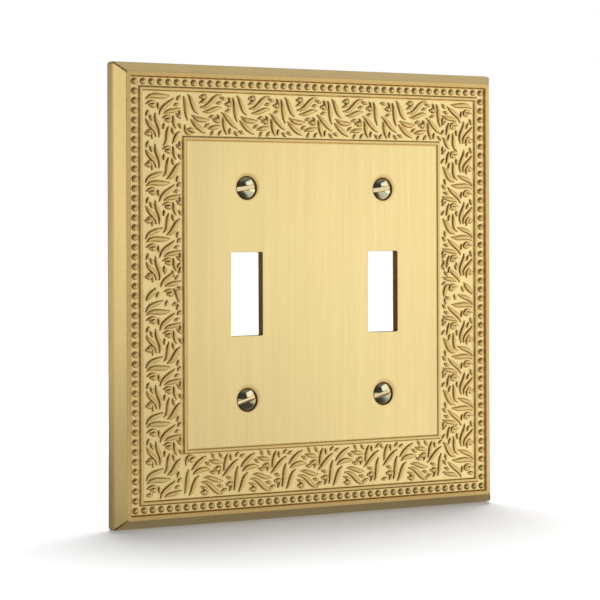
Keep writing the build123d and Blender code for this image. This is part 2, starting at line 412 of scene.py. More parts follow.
def rounded_block(name, size, place, radius, segments):
    """A block with its upright edges rounded, to cut or trim the casting with."""
    obj = block(name, size, place)
    open_edit("EDGE")
    round_edges(obj, lambda e: abs(e.verts[0].co.z - e.verts[1].co.z) > 1.0, radius, segments)
    close_edit()
    return obj


def apply_modifier(obj, kind, **settings):
    only(obj)
    modifier = obj.modifiers.new(kind.title(), kind)
    for key, value in settings.items():
        setattr(modifier, key, value)
    bpy.ops.object.modifier_apply(modifier=modifier.name)


def cut(obj, tool, operation="DIFFERENCE"):
    """Takes one solid away from another, or keeps what they share."""
    apply_modifier(obj, "BOOLEAN", operation=operation, solver="EXACT", object=tool)
    bpy.data.objects.remove(tool)


def ramp(table, value):
    """Reads a value off a table of (place, amount) rows."""
    for (low, first), (high, last) in zip(table, table[1:]):
        if value <= high:
            return first + (last - first) * max(0.0, value - low) / (high - low)
    return table[-1][1]


def wash_and_shade_by(obj, amount):
    """Writes how much dark wash, and at some places painted shade, lies on each point, from a rule on its place."""
    layer = obj.data.attributes.get("wash_and_shade") or obj.data.attributes.new("wash_and_shade", "FLOAT", "POINT")
    for point, value in zip(obj.data.vertices, layer.data):
        value.value = amount(point.co)


def gather(pieces, name):
    """Joins pieces into one mesh with its place in its points."""
    start_clean()
    for piece in pieces:
        piece.select_set(True)
    bpy.context.view_layer.objects.active = pieces[0]
    if len(pieces) > 1:
        bpy.ops.object.join()
    obj = named(name)
    apply_place()
    return obj


def copied(obj, x=0.0, y=0.0, z=0.0, scale=(1.0, 1.0, 1.0)):
    """A copy with its own mesh, moved to a place."""
    twin = obj.copy()
    twin.data = obj.data.copy()
    bpy.context.collection.objects.link(twin)
    twin.location = (x, y, z)
    twin.rotation_euler = (0, 0, 0)
    twin.scale = scale
    return twin


def mirrored(obj, axis):
    """A mirrored copy, with its faces turned outwards again."""
    scale = [1.0, 1.0, 1.0]
    scale[axis] = -1.0
    twin = copied(obj, scale=scale)
    only(twin)
    apply_place()
    face_up(twin, BAND_LEVEL)
    return twin


def hand_over(obj, degrees, node, material):
    """Stands a drawing against the wall in metres, shades it, and gives it its material and place on the part."""
    only(obj)
    obj.rotation_euler = (math.radians(90), 0, 0)
    obj.scale = (MM, MM, MM)
    apply_place()
    bpy.ops.object.shade_smooth_by_angle(angle=math.radians(degrees))
    apply_modifier(obj, "WEIGHTED_NORMAL", mode="FACE_AREA", weight=80, keep_sharp=True)
    obj.data.materials.clear()
    obj.data.materials.append(material)
    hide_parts(node)
    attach(obj, "root")


# Materials


def feed(tree, socket, value):
    """Links a socket to another one, or sets it to a constant."""
    if isinstance(value, bpy.types.NodeSocket):
        tree.links.new(value, socket)
    else:
        socket.default_value = value


def add_node(tree, kind, inputs=None, **settings):
    """A node with its settings made and its inputs fed."""
    node = tree.nodes.new("ShaderNode" + kind)
    for key, value in settings.items():
        setattr(node, key, value)
    for key, value in (inputs or {}).items():
        feed(tree, node.inputs[key], value)
    return node


def maths(tree, operation, *values, clamp=False):
    node = add_node(tree, "Math", dict(enumerate(values)), operation=operation, use_clamp=clamp)
    return node.outputs[0]


def spread(tree, value, start, stop, first=0.0, last=1.0, kind="LINEAR"):
    """Carries a value from one range over to another."""
    inputs = {"Value": value, "From Min": start, "From Max": stop, "To Min": first, "To Max": last}
    return add_node(tree, "MapRange", inputs, interpolation_type=kind).outputs["Result"]


def ease(tree, value, start, stop, first=0.0, last=1.0):
    return spread(tree, value, start, stop, first, last, "SMOOTHSTEP")


def along(tree, place, direction):
    """How far a place lies along a direction."""
    return add_node(tree, "VectorMath", {0: place, 1: direction}, operation="DOT_PRODUCT").outputs["Value"]


def reach(tree, place):
    """How far a place lies from the middle."""
    return add_node(tree, "VectorMath", {0: place}, operation="LENGTH").outputs["Value"]


def object_place(tree):
    return add_node(tree, "TexCoord").outputs["Object"]


def rays(tree, *kinds):
    """One for the kinds of ray named, and zero for others."""
    path = add_node(tree, "LightPath")
    total = path.outputs[f"Is {kinds[0]} Ray"]
    for kind in kinds[1:]:
        total = maths(tree, "ADD", total, path.outputs[f"Is {kind} Ray"], clamp=True)
    return total


def new_group(name, inputs, outputs):
    """An empty node group with named sockets; returns it with its source and its end."""
    group = bpy.data.node_groups.new(name, "ShaderNodeTree")
    for label, kind, value in inputs:
        group.interface.new_socket(label, in_out="INPUT", socket_type=kind).default_value = value
    for label, kind in outputs:
        group.interface.new_socket(label, in_out="OUTPUT", socket_type=kind)
    return group, group.nodes.new("NodeGroupInput").outputs, group.nodes.new("NodeGroupOutput").inputs


def new_material(name):
    material = bpy.data.materials.new(name)
    material.use_nodes = True
    return material, material.node_tree


def brushing_group():
    """Fine upright scratches of the brushing belt, as a value around one half."""
    if "Upright brushing" in bpy.data.node_groups:
        return bpy.data.node_groups["Upright brushing"]
    group, source, end = new_group(
        "Upright brushing",
        (("Fineness", "NodeSocketFloat", 1.0),),
        (("Fine", "NodeSocketFloat"), ("Broad", "NodeSocketFloat")),
    )
    place = object_place(group)
    for label, scale, detail in (("Fine", (5200.0, 900.0, 60.0), 4.0), ("Broad", (420.0, 120.0, 9.0), 3.0)):
        drawn_out = add_node(group, "Mapping", {"Vector": place, "Scale": scale}).outputs["Vector"]
        inputs = {"Vector": drawn_out, "Scale": source["Fineness"], "Detail": detail, "Roughness": 0.6}
        feed(group, end[label], add_node(group, "TexNoise", inputs).outputs["Fac"])
    return group


def tarnish_and_shade_group():
    """Takes bright metal through tan to dark wash by a mask, broken up by small stains; the mask also carries
    painted shade.
    """
    if "Dark wash and painted shade" in bpy.data.node_groups:
        return bpy.data.node_groups["Dark wash and painted shade"]
    group, source, end = new_group(
        "Dark wash and painted shade",
        (
            ("Bright", "NodeSocketColor", (*finish().brass, 1.0)),
            ("Tan", "NodeSocketColor", (*finish().tan, 1.0)),
            ("Dark", "NodeSocketColor", (*finish().wash_and_shade, 1.0)),
            ("Mask", "NodeSocketFloat", 0.0),
            ("Stain", "NodeSocketFloat", 0.15),
        ),
        (("Color", "NodeSocketColor"), ("Amount", "NodeSocketFloat")),
    )
    noise = add_node(group, "TexNoise", {"Vector": object_place(group), "Scale": 950.0, "Detail": 3.0})
    stain = maths(group, "MULTIPLY", maths(group, "SUBTRACT", noise.outputs["Fac"], 0.5), source["Stain"])
    stained = maths(group, "MULTIPLY", stain, source["Mask"])
    amount = maths(group, "ADD", stained, source["Mask"], clamp=True)
    metal = source["Bright"]
    for low, high, label in ((0.0, 0.5, "Tan"), (0.5, 1.0, "Dark")):
        # Sockets 6 and 7 are the two colours of a Mix node, and output 2 is its colour
        inputs = {"Factor": spread(group, amount, low, high), 6: metal, 7: source[label]}
        metal = add_node(group, "Mix", inputs, data_type="RGBA").outputs[2]
    feed(group, end["Color"], metal)
    feed(group, end["Amount"], amount)
    return group


def painted_screw_shade_group():
    """Painted shade round each screw, centred a little off to its upper right."""
    group, source, end = new_group(
        "Painted screw shade", (("Strength", "NodeSocketFloat", 0.5),), (("Mask", "NodeSocketFloat"),)
    )
    place = add_node(group, "SeparateXYZ", {"Vector": object_place(group)}).outputs
    from_screw = {}
    for axis, half, aside in (("X", SCREW_X * MM, 0.00030), ("Z", SCREW_Y * MM, 0.00034)):
        wrapped = maths(group, "WRAP", maths(group, "SUBTRACT", place[axis], half), half, -half)
        from_screw[axis] = maths(group, "SUBTRACT", wrapped, aside)
    away = reach(group, add_node(group, "CombineXYZ", from_screw).outputs["Vector"])
    fade = ease(group, away, 0.0031, 0.0047, 1.0, 0.0)
    on_face = maths(group, "LESS_THAN", place["Y"], -PANEL_LEVEL * MM + 0.00002)
    mask = maths(group, "MULTIPLY", maths(group, "MULTIPLY", fade, on_face), source["Strength"])
    feed(group, end["Mask"], mask)
    return group


def washed_and_shaded_metal(tree, bright, dark, mask, stain):
    """The group of wash and painted shade, fed with its colours; returns its outputs."""
    inputs = {"Bright": bright, "Tan": (*finish().tan, 1.0), "Dark": dark, "Mask": mask, "Stain": stain}
    return add_node(tree, "Group", inputs, node_tree=tarnish_and_shade_group()).outputs


def dress_shader(tree, sockets):
    shader = tree.nodes["Principled BSDF"]
    for key, value in sockets.items():
        feed(tree, shader.inputs[key], value)


def satin_brass():
    """Brushed brass under clear lacquer, with a dark wash in its hollows, painted shade in its sinks, openings and
    lower mitres, and painted shade round each screw.
    """
    if "washed_and_shaded_brass" in bpy.data.materials:
        return bpy.data.materials["washed_and_shaded_brass"]
    material, tree = new_material("washed_and_shaded_brass")
    brushing = add_node(tree, "Group", node_tree=brushing_group()).outputs
    wash_and_shade = add_node(tree, "Attribute", attribute_name="wash_and_shade").outputs["Fac"]
    # Painted shade round each screw
    painted_screw_shade = add_node(tree, "Group", {"Strength": 0.26}, node_tree=painted_screw_shade_group()).outputs["Mask"]
    # Streaks lighten and darken the bright metal a little
    fine = spread(tree, brushing["Fine"], 0.3, 0.7, 0.93, 1.07)
    broad = spread(tree, brushing["Broad"], 0.3, 0.7, 0.965, 1.035)
    streaks = {0: finish().brass, "Scale": maths(tree, "MULTIPLY", fine, broad)}
    bright = add_node(tree, "VectorMath", streaks, operation="SCALE").outputs["Vector"]
    metal = washed_and_shaded_metal(tree, bright, (*finish().wash_and_shade, 1.0), maths(tree, "MAXIMUM", wash_and_shade, painted_screw_shade), 0.5)
    rough = spread(tree, brushing["Fine"], 0.3, 0.7, 0.30, 0.40)
    scratches = {"Strength": 0.12, "Distance": 0.00002, "Height": brushing["Fine"]}
    dress_shader(tree, {
        "Base Color": metal["Color"],
        "Metallic": 1.0,
        "Roughness": maths(tree, "MULTIPLY_ADD", metal["Amount"], 0.22, rough),
        # The lacquer is lost where the wash and painted shade are thick
        "Coat Weight": spread(tree, metal["Amount"], 0.0, 0.32, 0.42, 0.0),
        "Coat Roughness": 0.3,
        "Normal": add_node(tree, "Bump", scratches).outputs["Normal"],
    })
    return material


def polished_brass():
    """Polished, slightly pale brass of the screws, with painted shade round the head and along the slots."""
    material, tree = new_material("screw_brass")
    brushing = add_node(tree, "Group", node_tree=brushing_group()).outputs
    wash_and_shade = add_node(tree, "Attribute", attribute_name="wash_and_shade").outputs["Fac"]
    # A deeper dark for the painted shade at the edge of the head and in the slots
    dark = (*(0.45 * part for part in finish().wash_and_shade), 1.0)
    metal = washed_and_shaded_metal(tree, (*finish().screw, 1.0), dark, wash_and_shade, 0.3)
    dress_shader(tree, {
        "Base Color": metal["Color"],
        "Metallic": 1.0,
        "Roughness": spread(tree, brushing["Broad"], 0.3, 0.7, 0.11, 0.17),
    })
    return material


# The casting


def outer_block():
    """The edge and the mitred bevel, open at the front where the rim begins."""
    obj = block("plate_casting", (WIDTH, HEIGHT, EDGE_LEVEL), (0, 0, EDGE_LEVEL / 2))
    open_edit("FACE")
    pick(obj, faces=lambda f: f.normal.z > 0.9)
    bpy.ops.mesh.inset(thickness=BEVEL_RUN, depth=DEPTH - EDGE_LEVEL)
    pick(obj, faces=lambda f: f.normal.z > 0.9 and f.calc_center_median().z > EDGE_LEVEL)
    bpy.ops.mesh.delete(type="ONLY_FACE")
    close_edit()
    return obj


def face_rings():
    """The panel and the moulding round it, grown outwards ring by ring up to the rim."""
    rows = (
        (PANEL_OUTER + 0.4, PANEL_LEVEL), (PANEL_OUTER, PANEL_LEVEL),
        (INNER_FILLET_INNER, FILLET_LEVEL), (INNER_FILLET_OUTER + CREASE, FILLET_LEVEL),
        (INNER_FILLET_OUTER, FILLET_LEVEL),
        (BAND_INNER, BAND_LEVEL), (BAND_INNER - CREASE, BAND_LEVEL),
        (BAND_OUTER + CREASE, BAND_LEVEL), (BAND_OUTER, BAND_LEVEL),
        (FILLET_INNER, FILLET_LEVEL), (FILLET_OUTER + CREASE, FILLET_LEVEL), (FILLET_OUTER, FILLET_LEVEL),
        (CHANNEL_INNER, CHANNEL_LEVEL), (CHANNEL_INNER - CREASE, CHANNEL_LEVEL),
        (CHANNEL_OUTER + CREASE, CHANNEL_LEVEL), (CHANNEL_OUTER, CHANNEL_LEVEL),
        (RIM_INNER, DEPTH), (RIM_INNER - CREASE, DEPTH),
    )
    inset, level = rows[0]
    bpy.ops.mesh.primitive_plane_add(size=1)
    obj = named("face_rings")
    obj.scale = (WIDTH - 2 * inset, HEIGHT - 2 * inset, 1)
    obj.location = (0, 0, level)
    apply_place()
    open_edit("EDGE")
    for (inset, level), (wider, higher) in zip(rows, rows[1:]):
        pick_rim(obj)
        scale = ((WIDTH - 2 * wider) / (WIDTH - 2 * inset), (HEIGHT - 2 * wider) / (HEIGHT - 2 * inset))
        grow_rim(scale, higher - level)
    close_edit()
    return obj


def sink_block(x, y):
    """One screw hole with its sink, as a block to take away."""
    bpy.ops.mesh.primitive_circle_add(vertices=48, radius=HOLE_R, fill_type="NOTHING")
    obj = named("screw_sink")
    open_edit("EDGE")
    foot = PANEL_LEVEL - (SINK_MOUTH_R - HOLE_R) / CONE_SLOPE
    mouth = PANEL_LEVEL + (SINK_R - SINK_MOUTH_R) / CONE_SLOPE
    ring_steps(obj, 0.0, ((HOLE_R, foot), (SINK_R, mouth)))
    close_ends(obj)
    obj.location = (x, y, 0)
    only(obj)
    apply_place()
    return obj


def from_outline(place):
    """How far a point lies inside the side edges and inside the top and bottom edges."""
    return WIDTH / 2 - abs(place.x), HEIGHT / 2 - abs(place.y)


def is_mitre(edge):
    """Whether an edge is one of the four mitres of the bevel."""
    run = edge.verts[1].co - edge.verts[0].co
    low = min(v.co.z for v in edge.verts)
    return min(abs(run.x), abs(run.y), abs(run.z)) > 0.8 and low > EDGE_LEVEL - 1e-3


def is_shoulder(edge):
    """Whether an edge lies along the outline where the side turns into the bevel."""
    return all(
        EDGE_LEVEL - 1e-3 < v.co.z < EDGE_LEVEL + 0.6 and min(from_outline(v.co)) < CORNER_R for v in edge.verts
    )


def keep_inside(obj):
    """Pulls the few points that the rounding pushed past the outline back onto it."""
    only(obj)
    open_edit()
    for axis, half in ((0, WIDTH / 2), (1, HEIGHT / 2)):
        flat = [1.0, 1.0, 1.0]
        flat[axis] = 0.0
        for side in (-half, half):
            middle = [0.0, 0.0, 0.0]
            middle[axis] = side
            if pick(obj, verts=lambda v: v.co[axis] / side > 1.0):
                resize(*flat, middle)
    close_edit()


def casting_wash_and_shade(place):
    """Dark wash on the casting, from the moulding's rings, and on its mitres, back and sides; painted shade on its
    lower mitres, over their wash, and in its holes.
    """
    aside, above = from_outline(place)
    inset = min(aside, above)
    # Mitres: the lower ones get painted shade on top of their wash
    if inset < BEVEL_RUN - 0.1 and place.z > EDGE_LEVEL + 0.3 and abs(aside - above) < 0.3:
        return LOWER_MITRE_WASH_AND_SHADE if place.y < 0 else UPPER_MITRE_WASH
    if place.z < EDGE_LEVEL - 0.05:
        if inset > 0.6:
            return BACK_WASH
        return BACK_EDGE_WASH if place.z < 0.5 else SIDE_WASH
    if inset > BEVEL_RUN and place.z < POCKET_LEVEL + 0.06:
        return BACK_WASH
    # Walls of the sinks, holes and openings below the panel: painted shade
    if inset > PANEL_OUTER + 1.0 and place.z < PANEL_LEVEL - 0.02:
        return HOLE_PAINTED_SHADE
    return ramp(WASH, inset)


class PLATE_OT_casting(bpy.types.Operator):
    """Models the brass casting: bevelled edge, moulded face, hollow back, openings and screw sinks"""

    bl_idname = "wall_plate.casting"
    bl_label = "Casting"

    def execute(self, context):
        start_clean()
        obj = gather([outer_block(), face_rings()], "plate_casting")
        only(obj)
        open_edit("EDGE")
        pick_rim(obj)
        bpy.ops.mesh.bridge_edge_loops()
        outward()
        cut(obj, rounded_block("corners", (WIDTH, HEIGHT, 30.0), (0, 0, 0), CORNER_R, 6), "INTERSECT")
        only(obj)
        open_edit("EDGE")
        round_edges(obj, is_mitre, MITRE_R, 3)
        round_edges(obj, is_shoulder, SHOULDER_R, 3)
        close_edit()
        hollow = (WIDTH - 2 * LAND_W, HEIGHT - 2 * LAND_W, POCKET_LEVEL + 1.0)
        cut(obj, rounded_block("pocket", hollow, (0, 0, POCKET_LEVEL / 2 - 0.5), POCKET_R, 6))
        for x in (-SCREW_X, SCREW_X):
            cut(obj, rounded_block("toggle_opening", (TOGGLE_W, TOGGLE_H, 12.0), (x, 0, 4.0), TOGGLE_R, 2))
        for x, y, turn in SCREWS:
            cut(obj, sink_block(x, y))
        apply_modifier(
            obj, "BEVEL", width=sizes().edge_rounding / MM, segments=2, limit_method="ANGLE",
            angle_limit=math.radians(32), use_clamp_overlap=False,
        )
        keep_inside(obj)
        wash_and_shade_by(obj, casting_wash_and_shade)
        hand_over(obj, 40, "wall_plate", satin_brass())
        return {"FINISHED"}


# Beads


def one_bead(radius, rise):
    """A bead with a narrow skirt and a root, its foot at zero."""
    bpy.ops.mesh.primitive_uv_sphere_add(segments=12, ring_count=8, radius=1)
    bead = named("bead")
    open_edit("EDGE")
    pick_all()
    bpy.ops.mesh.bisect(plane_co=(0, 0, 0.0), plane_no=(0, 0, 1), clear_inner=True, threshold=0.001)
    pick_all()
    resize(radius, radius, rise)
    move(0, 0, FOOT_LEVEL)
    pick_rim(bead)
    ring = 1 + BEAD_SKIRT / radius
    grow_rim((ring, ring), -SKIRT_DROP)
    close_below(bead)
    wash_and_shade_by(bead, lambda p: ramp(BEAD_WASH, p.z))
    return bead


class PLATE_OT_beads(bpy.types.Operator):
    """Models one bead and sets a row of them round the channel"""

    bl_idname = "wall_plate.beads"
    bl_label = "Beads"

    def execute(self, context):
        start_clean()
        bead = one_bead(sizes().bead_radius / MM, sizes().bead_height / MM)
        middle = (CHANNEL_OUTER + CHANNEL_INNER) / 2
        half_w, half_h = WIDTH / 2 - middle, HEIGHT / 2 - middle
        count = sizes().beads_per_side
        row = []
        for number in range(count):
            share = 1 - 2 * number / count
            x, y = half_w * share, half_h * share
            for place in ((-x, half_h), (x, -half_h), (half_w, y), (-half_w, -y)):
                row.append(copied(bead, *place, CHANNEL_LEVEL))
        bpy.data.objects.remove(bead)
        hand_over(gather(row, "bead_border"), 50, "wall_plate", satin_brass())
        return {"FINISHED"}


# Leaf border


def straight_sprig(name, widths, heights):
    """A straight domed leaf of unit length and width, open underneath, from a grid tapered column by column."""
    columns = len(widths) - 1
    bpy.ops.mesh.primitive_grid_add(x_subdivisions=columns, y_subdivisions=SPRIG_ROWS, size=1)
    obj = named(name)
    relief = sizes().relief / MM
    open_edit("VERT")
    for number, (width, height) in enumerate(zip(widths, heights)):
        at = number / columns - 0.5
        pick(obj, verts=lambda v: abs(v.co.x - at) < 0.01)
        resize(1.0, width, 1.0, (at, 0, 0))
        for row in range(1, SPRIG_ROWS):
            y = (row / SPRIG_ROWS - 0.5) * width
            share, aside = (1.0, 0.0) if 2 * row == SPRIG_ROWS else (0.9, 0.35 * y)
            pick(obj, verts=lambda v: abs(v.co.x - at) < 0.01 and abs(v.co.y - y) < 0.004)
            move(0, aside, relief * height * share)
    pick_all()
    move(0, 0, FOOT_LEVEL)
    outward()
    face_up(obj, 0.0)
    return obj


def sprig(blank, run, width):
    """A leaf, scroll or seed of its own length and width, with a flat skirt that holds the wash line, and a root."""
    obj = copied(blank)
    only(obj)
    skirt = sizes().skirt / MM
    open_edit("EDGE")
    pick_all()
    resize(run, width, 1.0)
    for wide in (0.6 * skirt, 0.4 * skirt):
        pick_rim(obj)
        grow_rim((1 + 2 * wide / run, 1 + 2 * wide / width), -SKIRT_DROP / 2)
    close_below(obj)
    relief = sizes().relief / MM
    table = (
        (-1, 0.0), (0.009, 0.0), (0.013, 0.30), (0.02, 0.47), (0.4 * relief, 0.41), (0.8 * relief, 0.24),
        (relief, 0.22), (2, 0.22),
    )
    wash_and_shade_by(obj, lambda p: ramp(table, p.z))
    return obj


def spine(points):
    """A smooth path in the plane of the band by its control points."""
    start_clean()
    bpy.ops.curve.primitive_nurbs_path_add()
    path = bpy.context.object
    curve = path.data
    curve.dimensions = "2D"
    curve.splines.remove(curve.splines[0])
    line = curve.splines.new("NURBS")
    line.points.add(len(points) - 1)
    for point, (x, y) in zip(line.points, points):
        point.co = (x, y, 0, 1)
    line.order_u = 4
    line.use_endpoint_u = True
    line.resolution_u = 10
    curve.use_stretch = True
    curve.use_deform_bounds = True
    return path


def bent(blank, points, width):
    """A sprig laid along its spine."""
    path = spine(points)
    run = sum((Vector(b) - Vector(a)).length for a, b in zip(points, points[1:]))
    obj = sprig(blank, run, width)
    apply_modifier(obj, "CURVE", object=path, deform_axis="POS_X")
    bpy.data.objects.remove(path)
    return obj


def scroll_points(tail_x, tail_y, x, y, radius, entry, turn):
    """The tail of a scroll, curling in to the ball that it ends at."""
    points = [(tail_x, tail_y)]
    for step in range(CURL_STEPS):
        angle = math.radians(entry + turn * step * CURL_TURN)
        out = radius * (CURL_START - CURL_IN * step)
        points.append((x + out * math.cos(angle), y + out * math.sin(angle)))
    return points


def cell_sprigs(blanks, leaves=(), scrolls=(), seeds=()):
    """Every sprig of a cell, each with the two ends that say where it lies."""
    leaf, scroll, seed = blanks
    made = []
    for row in leaves:
        points = [(row[i], row[i + 1]) for i in range(0, 8, 2)]
        made.append((bent(leaf, points, LEAF_SLIM * row[8]), points[0], points[3]))
    for row in scrolls:
        made.append((bent(scroll, scroll_points(*row), SCROLL_W), row[2:4], row[2:4]))
    balls = tuple((x, y, BALL_LONG * r + SEED_TRIM, BALL_WIDE * r, 0) for _, _, x, y, r, _, _ in scrolls)
    for x, y, size, width, lean in seeds + balls:
        obj = sprig(seed, size - SEED_TRIM, SEED_FULL * width)
        obj.rotation_euler = (0, 0, math.radians(lean))
        obj.location = (x, y, 0)
        only(obj)
        apply_place()
        made.append((obj, (x, y), (x, y)))
    return made


def lay_run(made, along_axis, origin, pitch, low, high, across):
    """Copies of a cell's sprigs at every cell of a run, keeping those that lie whole within it."""
    laid = []
    first = math.floor((low - origin) / pitch) - 1
    last = math.ceil((high - origin) / pitch) + 1
    for number in range(first, last + 1):
        start = origin + pitch * number
        for obj, one, other in made:
            ends = (start + one[along_axis], start + other[along_axis])
            if low <= min(ends) and max(ends) <= high:
                place = (start, across) if along_axis == 0 else (across, start)
                laid.append(copied(obj, *place, BAND_LEVEL))
    return laid


def lay_once(made, x, y):
    """One copy of each sprig."""
    return [copied(obj, x, y, BAND_LEVEL) for obj, one, other in made]


def clear_away(*cells):
    """Takes away the sprigs that the copies were made from."""
    for made in cells:
        for obj, one, other in made:
            bpy.data.objects.remove(obj)


def left_run(blanks, x, top):
    """The leaves of the left side: two runs from the top, one from the bottom, and what fills their joins."""
    sprays = cell_sprigs(blanks, SIDE_LEAVES, SIDE_SCROLLS)
    grains = cell_sprigs(blanks, seeds=SIDE_SEEDS)
    end = cell_sprigs(blanks, seeds=END_SEEDS)
    middle = cell_sprigs(blanks, MIDDLE_LEAVES, MIDDLE_SCROLLS, MIDDLE_SEEDS)
    join = cell_sprigs(blanks, TOP_JOIN_LEAVES)
    laid = []
    # The sprigs, the start of their first cell, and the low and the high end of the run
    for made, origin, low, high in (
        (sprays + grains, top + 8.9, top - 15.4, top - 0.5),
        (sprays + grains, top - 15.35, 3.6, top - 14.7),
        (sprays, 16.0 - top, 0.4 - top, -0.9),
        (grains, 16.0 - top, 1.2 - top, -0.9),
    ):
        laid += lay_run(made, 1, origin, SIDE_CELL, low, high, x)
    laid += lay_once(end, x, -top) + lay_once(middle, x, 0) + lay_once(join, x, top)
    clear_away(sprays, grains, end, middle, join)
    return gather(laid, "left_leaves")


def upper_run(blanks, right, top):
    """The leaves of the top: one run from the left, one from the right, and the spray at the corner."""
    cell = cell_sprigs(blanks, TOP_LEAVES, TOP_SCROLLS, TOP_SEEDS)
    corner = cell_sprigs(blanks, CORNER_LEAVES, seeds=CORNER_SEEDS)
    start, split = -0.3 - right, right - 21.7
    laid = lay_run(cell, 0, start, TOP_CELL, -right - 0.5, split, top)
    laid += lay_run(cell, 0, right - 17.5, TOP_CELL, split, right + 0.5, top)
    laid += lay_once(corner, start, top)
    clear_away(cell, corner)
    return gather(laid, "upper_leaves")


class PLATE_OT_leaf_border(bpy.types.Operator):
    """Models the leaves, scrolls and seeds of a cell and lays them in runs round the band"""

    bl_idname = "wall_plate.leaf_border"
    bl_label = "Leaf border"

    def execute(self, context):
        start_clean()
        blanks = [straight_sprig(*row) for row in BLANKS]
        top = HEIGHT / 2 - BAND_OUTER
        left = left_run(blanks, BAND_OUTER - WIDTH / 2, top)
        upper = upper_run(blanks, WIDTH / 2 - BAND_INNER, top)
        for blank in blanks:
            bpy.data.objects.remove(blank)
        sides = [left, mirrored(left, 0), upper, mirrored(upper, 1)]
        for run, aside in zip(sides, RUN_SHIFTS):
            run.location.x = aside
        hand_over(gather(sides, "leaf_border"), 42, "wall_plate", satin_brass())
        return {"FINISHED"}


# Screws


def turned_screw(size):
    """An oval-head screw along Z with the edge of its head at zero, without its slot and thread."""
    cap_r = (HEAD_R**2 + DOME_H**2) / (2 * DOME_H)
    half = math.asin(HEAD_R / cap_r)
    bpy.ops.mesh.primitive_circle_add(vertices=40, radius=HEAD_R, fill_type="NOTHING")
    obj = named("cover_screw")
    open_edit("EDGE")
    cap = []
    for ring in range(1, DOME_RINGS):
        angle = half * (1 - ring / DOME_RINGS)
        cap.append((cap_r * math.sin(angle), cap_r * math.cos(angle) - cap_r + DOME_H))
    ring_steps(obj, 0.0, cap)
    pick(obj, edges=lambda e: e.is_boundary and all(v.co.z > 0.5 * DOME_H for v in e.verts))
    grow_rim((0, 0), DOME_H - cap[-1][1])
    pick_all()
    bpy.ops.mesh.remove_doubles(threshold=0.002)
    core = THREAD_R - THREAD_DEPTH
    ring_steps(obj, 0.0, (
        (NECK_R, -(HEAD_R - NECK_R) / CONE_SLOPE),
        (NECK_R, THREAD_TOP),
        (core, THREAD_TOP - 0.15),
        (core, TIP_H - size),
        (core - TIP_TAPER, -size),
    ))
    close_ends(obj)
    return obj


def helix(core, top, bottom):
    """The ridge of the thread: a closed section wound round the core."""
    pitch = sizes().thread_pitch / MM
    buried = 0.12
    bpy.ops.mesh.primitive_plane_add(size=1)
    obj = named("screw_thread")
    open_edit("VERT")
    pick_all()
    bpy.ops.transform.rotate(value=math.radians(90), orient_axis="X", center_override=(0, 0, 0))
    resize(THREAD_R - core + buried, 1, 0.86 * pitch)
    pick(obj, verts=lambda v: v.co.x > 0)
    resize(1, 1, 0.2)
    pick_all()
    move((THREAD_R + core - buried) / 2, 0, -bottom)
    bpy.ops.mesh.delete(type="ONLY_FACE")
    close_edit()
    apply_modifier(
        obj, "SCREW", axis="Z", angle=math.radians(360), screw_offset=pitch,
        iterations=int((bottom + top) / pitch), steps=20, render_steps=20, use_smooth_shade=True,
    )
    only(obj)
    open_edit("EDGE")
    close_ends(obj)
    return obj


def screw_painted_shade(place, turn):
    """Painted shade at the edge of the head and along the edges of the slot, and a lighter painted shade on the
    slot's floor.
    """
    lean = math.radians(turn)
    across = abs(place.y * math.cos(lean) - place.x * math.sin(lean))
    if abs(across - SLOT_W / 2) < 0.01 and place.z > -0.1:
        return SLOT_EDGE_PAINTED_SHADE
    if across < SLOT_W / 2 and place.z > -0.5:
        return SLOT_PAINTED_SHADE
    return ramp(SCREW_PAINTED_SHADE, place.z)


class PLATE_OT_cover_screws(bpy.types.Operator):
    """Models the oval-head screw with its thread, and sets four of them with their slots at their own turns"""

    bl_idname = "wall_plate.cover_screws"
    bl_label = "Cover screws"

    def execute(self, context):
        start_clean()
        level = -SCREW_LOW.y / MM - DOME_H
        size = SCREW_HIGH.y / MM + level
        master = turned_screw(size)
        thread = helix(THREAD_R - THREAD_DEPTH, THREAD_TOP - 0.25, size - 0.75)
        screws = []
        for x, y, turn in SCREWS:
            screw = copied(master)
            cut(screw, block("screw_slot", (9.0, SLOT_W, 2 * SLOT_DEPTH), (0, 0, DOME_H), turn))
            wash_and_shade_by(screw, lambda p: screw_painted_shade(p, turn))
            screw.location = (x, y, level)
            ridge = copied(thread, x, y, level)
            wash_and_shade_by(ridge, lambda p: THREAD_WASH)
            screws += [screw, ridge]
        bpy.data.objects.remove(master)
        bpy.data.objects.remove(thread)
        hand_over(gather(screws, "polished_screws"), 35, "cover_screws", polished_brass())
        return {"FINISHED"}


# Stage


def add_lamp(name, place, power):
    """A soft light that faces the middle of the plate."""
    bpy.ops.object.light_add(type="AREA", location=place)
    lamp = bpy.context.object
    lamp.name = name
    lamp.data.energy = power
    lamp.rotation_euler = (-Vector(place)).to_track_quat("-Z", "Y").to_euler()
    return lamp


def soft_lights():
    for name, place, size, power, mirrored_in_metal in SOFTBOXES:
        lamp = add_lamp(name, place, power)
        lamp.data.shape = "SQUARE"
        lamp.data.size = size
        lamp.visible_glossy = mirrored_in_metal


def low_light():
    """A low light in front of the plate that lifts the casting's lower border and leaves the screws alone."""
    lamp = add_lamp("low_front", (*LOW_PLACE, PLATE_LOW.z + 0.0005), LOW_POWER)
    lamp.rotation_euler = (math.pi, 0, 0)
    lamp.data.shape = "RECTANGLE"
    lamp.data.size, lamp.data.size_y = LOW_SIZE
    lamp.visible_camera = False
    lit = bpy.data.collections.new("lit_from_below")
    for name in ("plate_casting", "bead_border", "leaf_border"):
        lit.objects.link(bpy.data.objects[name])
    lamp.light_linking.receiver_collection = lit


